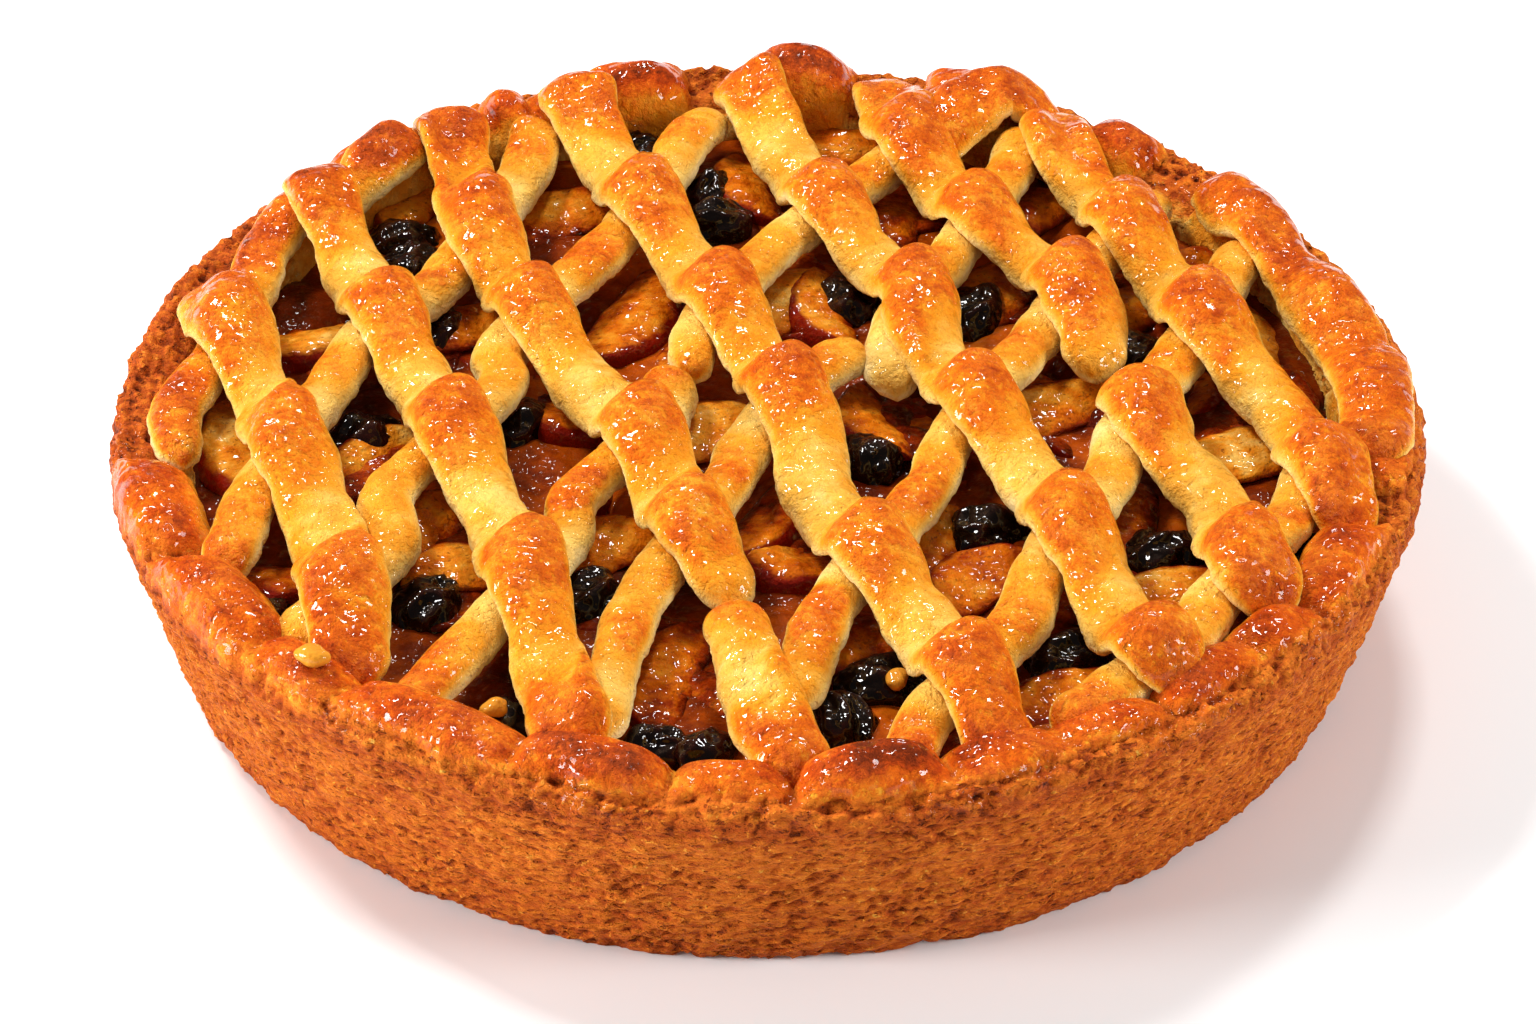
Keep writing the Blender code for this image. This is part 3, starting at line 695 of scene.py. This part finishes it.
LONG_STRIPS = {
    "long_strip_1": [(-113, 38), (-104, 13), (-97, -6), (-87, -35), (-79, -64), (-74, -100)],
    "long_strip_2": [(-97, 82), (-80, 36), (-64, -5), (-50, -44), (-44, -66), (-32, -121)],
    "long_strip_3": [(-69, 109), (-65, 88), (-55, 47), (-36, 6), (-25, -12), (-18, -36), (-11, -54),
                     (-5, -66)],
    "long_strip_4": [(-43, 116), (-28, 76), (-11, 38), (7.5, -12), (11, -34), (30, -76), (37, -93),
                     (45, -118)],
    "long_strip_5": [(-6, 122), (11, 73), (30, 36), (33, 16), (51, -26), (62, -60), (67, -76), (77, -97)],
    "long_strip_6": [(24, 122), (31, 93), (44, 64), (58, 45), (65, 26), (66, 10)],
    "long_strip_7": [(60, 112), (63, 90), (71, 70), (78, 51), (88, 26), (96, 8), (104, -11), (110, -36),
                     (112, -48)],
    "long_strip_8": [(91, 85), (95, 74), (98, 66), (103, 58), (108, 44), (113, 30), (117.5, 18),
                     (119.5, 7), (120, -3), (119.5, -12), (117, -24)],
    "long_strip_9": [(-6, -68), (-3, -86), (1, -104), (9, -122)],
    "long_strip_10": [(72, 1), (77, -17), (86, -34), (90, -56), (95, -74), (97, -88)],
}

# How far out the sides of a strip's end may reach, on the far side and on the near side of a line
NEAR_SIDE_Y = -30.0
FAR_REACH = {"cross": 119.0, "long": 127.5, "cross_strip_1": 126.0, "long_strip_8": 129.5}
NEAR_REACH = {"cross": 122.0, "long": 124.0, "long_strip_7": 128.0}

# Strips that run on along the rim, past the ends of their own solids, and stand for the case there
ALONG_RIM = ("cross_strip_1", "cross_strip_10", "long_strip_8")

BED_REACH = 133
bed_line = np.arange(-BED_REACH, BED_REACH, BED_STEP)
bed_x, bed_y = np.meshgrid(bed_line, bed_line, indexing="ij")


def nodes_of(name):
    """The CAD nodes that a strip stands for."""
    return (name, "pie_case") if name in ALONG_RIM else (name,)


def end_limits(name, kind):
    """How far out the strip's ends may reach, on the far side and on the near side."""
    return FAR_REACH.get(name, FAR_REACH[kind]), NEAR_REACH.get(name, NEAR_REACH[kind])


def softened(height, spread):
    """A height map blurred by a bell curve, first along one way and then along the other."""
    offsets = np.arange(-int(3 * spread / BED_STEP) - 1, int(3 * spread / BED_STEP) + 2)
    bell = np.exp(-0.5 * (offsets * BED_STEP / spread) ** 2)
    bell /= bell.sum()
    for axis in (0, 1):
        height = sum(weight * np.roll(height, int(offset), axis) for offset, weight in zip(offsets, bell))
    return height


def height_at(bed, x, y):
    """The height map read between its points, from the four nearest."""
    column = np.clip((x - bed_line[0]) / BED_STEP, 0, len(bed_line) - 1.001)
    row = np.clip((y - bed_line[0]) / BED_STEP, 0, len(bed_line) - 1.001)
    i, j = column.astype(int), row.astype(int)
    u, v = column - i, row - j
    return ((1 - u) * (1 - v) * bed[i, j] + u * (1 - v) * bed[i + 1, j]
            + (1 - u) * v * bed[i, j + 1] + u * v * bed[i + 1, j + 1])


def smooth_route(places):
    """A smooth curve through the places, as points an even step apart: each stretch is a cubic that
    leaves and reaches its places in the direction of their neighbours."""
    p = np.array(places, float)
    p = np.vstack([2 * p[0] - p[1], p, 2 * p[-1] - p[-2]])
    t = np.linspace(0, 1, 24, endpoint=False)[:, None]
    stretches = []
    for a, b, c, d in zip(p[:-3], p[1:-2], p[2:-1], p[3:]):
        stretches.append(0.5 * (2 * b + (c - a) * t + (2 * a - 5 * b + 4 * c - d) * t**2
                                + (3 * b - a - 3 * c + d) * t**3))
    curve = np.vstack([*stretches, p[-2:-1]])
    run = np.append(0, np.cumsum(np.hypot(*np.diff(curve, axis=0).T)))
    even = np.linspace(0, run[-1], int(run[-1] / ROUTE_STEP) + 1)
    return np.stack([np.interp(even, run, curve[:, k]) for k in (0, 1)], 1)


def sideways(route):
    """Unit vectors across the route, level with the table."""
    ahead = np.gradient(route, axis=0)
    ahead /= np.hypot(*ahead.T)[:, None]
    return np.stack([-ahead[:, 1], ahead[:, 0]], 1)


def cut_at_rim(route, half, far_reach, near_reach):
    """The route without the ends that reach too far out on the near side and on the far side."""
    side = sideways(route)
    edge_reach = np.maximum(np.hypot(*(route + half * side).T), np.hypot(*(route - half * side).T))
    kept = np.flatnonzero(edge_reach < np.where(route[:, 1] > NEAR_SIDE_Y, far_reach, near_reach))
    return route[kept[0]:kept[-1] + 1]


def laid_strip(places, half, thick, bed, far_reach, near_reach, seed):
    """A strip of dough draped on the bed, as rings along its route. A ring is flat below and round on
    top; it is wider where it is lifted over something, and its ends are drawn in round. Returned with
    its route, width and depth, and marks: how high each point is lifted, and how far up the ring it is."""
    route = cut_at_rim(smooth_route(places), half, far_reach, near_reach)
    side = sideways(route)
    run = ROUTE_STEP * np.arange(len(route))
    own = np.stack([run, np.full_like(run, 40.0 * seed), 0 * run], -1)
    lifted = between(height_at(bed, *route.T), STRIP_REST + 1.0, STRIP_REST + 5.5)
    from_end = np.minimum(run, run[-1] - run)
    drawn = np.clip(1 - np.clip(1 - from_end / END_LENGTH, 0, 1) ** 2.2, 0.02, 1) ** 0.5
    pressed = between(np.hypot(*route.T), 112, 123) * (1 - 0.7 * between(route[:, 1], 0, 40))
    width = half * (0.90 + 0.16 * lifted + 0.14 * swell(own, 26) + 0.07 * swell(own + 9, 9)) * drawn
    depth = thick * (1.0 + 0.10 * swell(own + 20, 18)) * (0.25 + 0.75 * drawn) * (1 - 0.35 * pressed)
    turn = np.linspace(0, 2 * pi, STRIP_AROUND, endpoint=False)[None, :]
    across = np.sign(np.cos(turn)) * np.abs(np.cos(turn)) ** 0.9
    round_off = 0.92 + 0.5 * pressed[:, None] * (route[:, 1:] > 20)
    up = np.where(np.sin(turn) > 0, 0.32 + 0.68 * np.abs(np.sin(turn)) ** round_off,
                  0.32 * (1 - np.abs(np.sin(turn)) ** 0.7))
    flat = route[:, None, :] + (width[:, None] * across)[..., None] * side[:, None, :]
    rest = height_at(bed, flat[..., 0], flat[..., 1])
    middle = height_at(bed, *route.T)[:, None]
    under = middle + (0.60 - 0.4 * pressed[:, None]) * (rest - middle)
    z = under + depth[:, None] * up - 1.6 * pressed[:, None] * between(7.0 - from_end[:, None], 0, 7)
    rings = np.stack([flat[..., 0], flat[..., 1], z], -1)
    crumbly = 0.10 + 0.30 * between(0.45 - up, 0, 0.4)
    relief = 0.45 * rough(rings + 13 * seed, 9, 2) + crumbly * rough(rings + 5, 2.6, 2)
    rings += relief[..., None] * ring_normals(rings)
    marks = {"lifted": between(under, STRIP_REST + 0.5, STRIP_REST + 5.5), "up": up}
    return route, width, depth, rings, marks


bed_angle, bed_reach = np.arctan2(bed_y, bed_x), np.hypot(bed_x, bed_y)
folded_over = between(-bed_y, 15, 45) * lump_heights(bed_angle, bed_reach)
rim_bed = rim_heights(bed_angle, bed_reach) - folded_over - 0.6
heap_bed = np.where(bed_reach > LIP_R, np.maximum(rim_bed, STRIP_REST), STRIP_REST)
heap_bed = np.where(bed_reach > RIM_REACH[0] + 0.6, STRIP_REST, heap_bed)
cross_bed = softened(heap_bed, 2.0)

cross_laid = {name: laid_strip(places, CROSS_HALF, CROSS_THICK, cross_bed,
                               *end_limits(name, "cross"), number)
              for number, (name, places) in enumerate(CROSS_STRIPS.items())}
long_places = np.vstack([smooth_route(places) for places in LONG_STRIPS.values()])


def cross_colours(route, rings, marks):
    """Pale dough, browned along its crown where no long strip shades it, and glazed there."""
    crown = between(marks["up"], 0.35, 0.9)
    patches = between(swell(rings, 24), -0.35, 0.45)
    away = np.hypot(*(route[:, None, :] - long_places[None, :, :]).transpose(2, 0, 1)).min(1)
    bare = between(away, 7.5, 14.0)[:, None]
    reach = np.hypot(rings[..., 0], rings[..., 1])
    browning = 0.06 + crown * (0.10 + 0.20 * patches + 0.24 * bare) + 0.04 * swell(rings + 30, 7)
    browning += 0.24 * between(reach, 106, 119) * crown
    glaze = crown * (0.5 + 0.5 * patches)
    return {"browning": browning, "glaze": glaze}


strip_dough = dough_material("glazed_dough", 0.42)
for name, (route, _, _, rings, marks) in cross_laid.items():
    piece = make_piece(f"{name}_dough", [(rings, cross_colours(route, rings, marks))])
    piece.data.materials.append(strip_dough)
    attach(piece, "root")
    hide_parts(*nodes_of(name))

# The long strips
# Thicker strips laid over the cross strips. Each rises in a hump over every one that it passes, and
# the humps stand nearest the oven's heat: brown on their crowns, golden on their sides, pale between.

LONG_HALF = 7.8
LONG_THICK = 7.2
RAMP_STEPS = 20
RAMP_FALL = 0.42
FADE_PER_ROW = 0.048


def strip_tops(bed, laid):
    """The bed with the laid strips' rounded tops on it."""
    bed = bed.copy()
    for route, width, depth, rings, _ in laid:
        low, high = rings[..., :2].min((0, 1)) - 2, rings[..., :2].max((0, 1)) + 2
        inside = (bed_x > low[0]) & (bed_x < high[0]) & (bed_y > low[1]) & (bed_y < high[1])
        near = np.flatnonzero(inside.ravel())
        x, y = bed_x.ravel()[near], bed_y.ravel()[near]
        best, which = np.full(len(near), np.inf), np.zeros(len(near), int)
        for number, (px, py) in enumerate(route):
            away = (x - px) ** 2 + (y - py) ** 2
            closer = away < best
            best[closer], which[closer] = away[closer], number
        share = np.sqrt(best) / width[which]
        top = height_at(bed, *route.T)[which] + depth[which] * np.clip(1 - share**2.8, 0, 1) ** 0.5
        bed.flat[near] = np.where(share < 1, np.maximum(bed.flat[near], top), bed.flat[near])
    return bed


def drape_bed(rim_and_heap):
    """The bed as soft dough meets it: spread by two steps each way, with a ramp down the near side of
    each hump, then blurred."""
    spread = rim_and_heap
    for axis in (0, 1):
        spread = np.maximum.reduce([np.roll(spread, step, axis) for step in range(-2, 3)])
    for step in range(1, RAMP_STEPS + 1):
        spread = np.maximum(spread, np.roll(spread, (step // 3, -step), (0, 1)) - RAMP_FALL * step * BED_STEP)
    return softened(spread, 1.2)


long_bed = drape_bed(strip_tops(cross_bed, cross_laid.values()))
long_laid = {name: laid_strip(places, LONG_HALF, LONG_THICK, long_bed,
                              *end_limits(name, "long"), 20 + number)
             for number, (name, places) in enumerate(LONG_STRIPS.items())}


def long_colours(rings, marks):
    """Browned along the crown from each hump on, fading towards the near side to a pale dip before
    the next hump, brown where it lies on the rim, and pale along its edges."""
    crown = between(marks["up"], 0.2, 0.85)
    patches = swell(rings, 20)
    reach = np.hypot(rings[..., 0], rings[..., 1])
    baked = np.maximum(between(marks["lifted"], 0.1, 0.9), np.arange(len(rings))[:, None] < 3)
    for row in range(1, len(baked)):
        baked[row] = np.maximum(baked[row], baked[row - 1] - FADE_PER_ROW)
    baked = np.maximum(baked, between(reach, 96, 110))
    browning = 0.07 + crown * (0.17 + 0.10 * patches + 0.36 * baked)
    browning += 0.08 * between(reach, 108, 119) * crown
    browning += 0.05 * swell(rings + 30, 6)
    glaze = 0.45 + 0.55 * crown
    return {"browning": browning, "glaze": glaze}


for name, (_, _, _, rings, marks) in long_laid.items():
    piece = make_piece(f"{name}_dough", [(rings, long_colours(rings, marks))])
    piece.data.materials.append(strip_dough)
    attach(piece, "root")
    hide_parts(*nodes_of(name))

# A short roll lies on the far rim, from the end of one cross strip to the start of a long one
ROLL_ROUTE = [(36, 90), (42, 101), (52, 108), (64, 103)]
_, _, _, rings, marks = laid_strip(ROLL_ROUTE, 6.6, 7.0, long_bed, 128.0, 122.0, 40)
piece = make_piece("far_rim_roll", [(rings, long_colours(rings, marks))])
piece.data.materials.append(strip_dough)
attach(piece, "root")
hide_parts("pie_case")

# The bits of nut
# Three pale bits of nut: one on the pressed rim at the near left, and two on raisins near the front.
# Each is seated on the highest point of the pie at its place.

# Place, length and width of each
NUTS = [(-82.5, -90, 7, 5), (-49.1, -95.8, 5.5, 4.5), (24.5, -86, 5.5, 4.5)]
NUT_SPREAD = 1.2


def points_of(piece):
    """The piece's vertices as rows of x, y and z, in millimetres."""
    flat = np.empty(3 * len(piece.data.vertices))
    piece.data.vertices.foreach_get("co", flat)
    return flat.reshape(-1, 3) / MM


def top_at(x, y):
    """The height of the highest point of the pie close to a place."""
    near = np.hypot(pie_points[:, 0] - x, pie_points[:, 1] - y) < NUT_SPREAD
    return pie_points[near, 2].max()


def nut_bit(x, y, length, width, heading, seed):
    """A small rounded body as rings along its length, with a lumpy surface, sunk a little into what
    carries it."""
    tall = 0.7 * width
    local = ellipsoid(0.5 * length, 0.5 * width, 0.5 * tall, 0.06, 16, 24)
    local += (0.16 * width * swell(local + 29.0 * seed, 0.6 * width))[..., None] * ring_normals(local)
    return turned(local, heading, 0) + np.array([x, y, top_at(x, y) + 0.5 * tall - 0.5])


pie_points = np.vstack([points_of(piece) for piece in made_pieces])
nut_bodies = [(nut_bit(*place, 40.0 * number, number), {"flesh": 0.35}) for number, place in enumerate(NUTS)]
nuts = make_piece("nut_bits", nut_bodies)
nuts.data.materials.append(fruit_material(
    "glazed_nut", [(0.0, 200, 110, 20), (0.5, 232, 160, 50), (1.0, 248, 204, 110)],
    0.6, 300.0, 0.0012, 0.0006, 0.7))
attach(nuts, "root")
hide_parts("apple_filling")

# The table, light and camera
# A pale floor, square lamps above and at both sides, and a camera that looks down on the pie at the
# angle of the photograph. The white surroundings are dimmer as light and in reflections than they
# look, so that wet fruit mirrors the lamps and stays dark between the glints.

PHOTO_WIDTH = 1536
FOCAL_PIXELS = 5036.0
SENSOR_MM = 36.0
CAMERA_PITCH = radians(35.54)
CAMERA_AWAY = 1.040
CAMERA_AIM = (0.00065, 0.0242, 0.0)
WORLD_LIGHT = 0.30
WORLD_MIRRORED = 0.08
FLOOR_HALF = 4.0
FLOOR_Z = -0.0002

corners = [(FLOOR_HALF * x, FLOOR_HALF * y, FLOOR_Z) for x, y in ((-1, -1), (1, -1), (1, 1), (-1, 1))]
floor_mesh = bpy.data.meshes.new("floor")
floor_mesh.from_pydata(corners, [], [(0, 1, 2, 3)])
floor = bpy.data.objects.new("floor", floor_mesh)
bpy.context.scene.collection.objects.link(floor)
paper = bpy.data.materials.new("pale_paper")
paper.use_nodes = True
paper_inputs = paper.node_tree.nodes["Principled BSDF"].inputs
paper_inputs["Base Color"].default_value = (0.95, 0.95, 0.95, 1)
paper_inputs["Roughness"].default_value = 0.9
floor_mesh.materials.append(paper)


def lamp(name, place, size, power):
    """A white square lamp, of that side and power in watts, that faces the middle of the pie."""
    data = bpy.data.lights.new(name, "AREA")
    data.size = size
    data.energy = power
    obj = bpy.data.objects.new(name, data)
    obj.location = place
    obj.rotation_euler = (Vector((0, 0, 0.03)) - Vector(place)).to_track_quat("-Z", "Y").to_euler()
    bpy.context.scene.collection.objects.link(obj)


lamp("key", (-0.7, 0.5, 1.1), 0.26, 15)
lamp("back", (0.2, 0.8, 1.3), 0.24, 9)
lamp("left", (-1.2, -0.4, 0.4), 0.4, 18)
lamp("right", (1.2, -0.35, 0.5), 0.4, 12)

bpy.context.scene.view_settings.view_transform = "Standard"
world = bpy.data.worlds.new("studio")
world.use_nodes = True
background = world.node_tree.nodes["Background"].inputs
background["Color"].default_value = (1, 1, 1, 1)
light_path = world.node_tree.nodes.new("ShaderNodeLightPath").outputs
strength = maths(world.node_tree, "MULTIPLY_ADD", light_path["Is Glossy Ray"],
                 WORLD_MIRRORED - WORLD_LIGHT, WORLD_LIGHT)
strength = maths(world.node_tree, "MULTIPLY_ADD", light_path["Is Camera Ray"], 1 - WORLD_LIGHT, strength)
world.node_tree.links.new(strength, background["Strength"])
bpy.context.scene.world = world

camera_data = bpy.data.cameras.new("camera")
camera_data.sensor_width = SENSOR_MM
camera_data.lens = SENSOR_MM * FOCAL_PIXELS / PHOTO_WIDTH
camera = bpy.data.objects.new("camera", camera_data)
camera.location = (CAMERA_AIM[0], CAMERA_AIM[1] - CAMERA_AWAY * cos(CAMERA_PITCH),
                   CAMERA_AWAY * sin(CAMERA_PITCH))
camera.rotation_euler = (pi / 2 - CAMERA_PITCH, 0, 0)
bpy.context.scene.collection.objects.link(camera)
bpy.context.scene.camera = camera

bpy.context.view_layer.update()
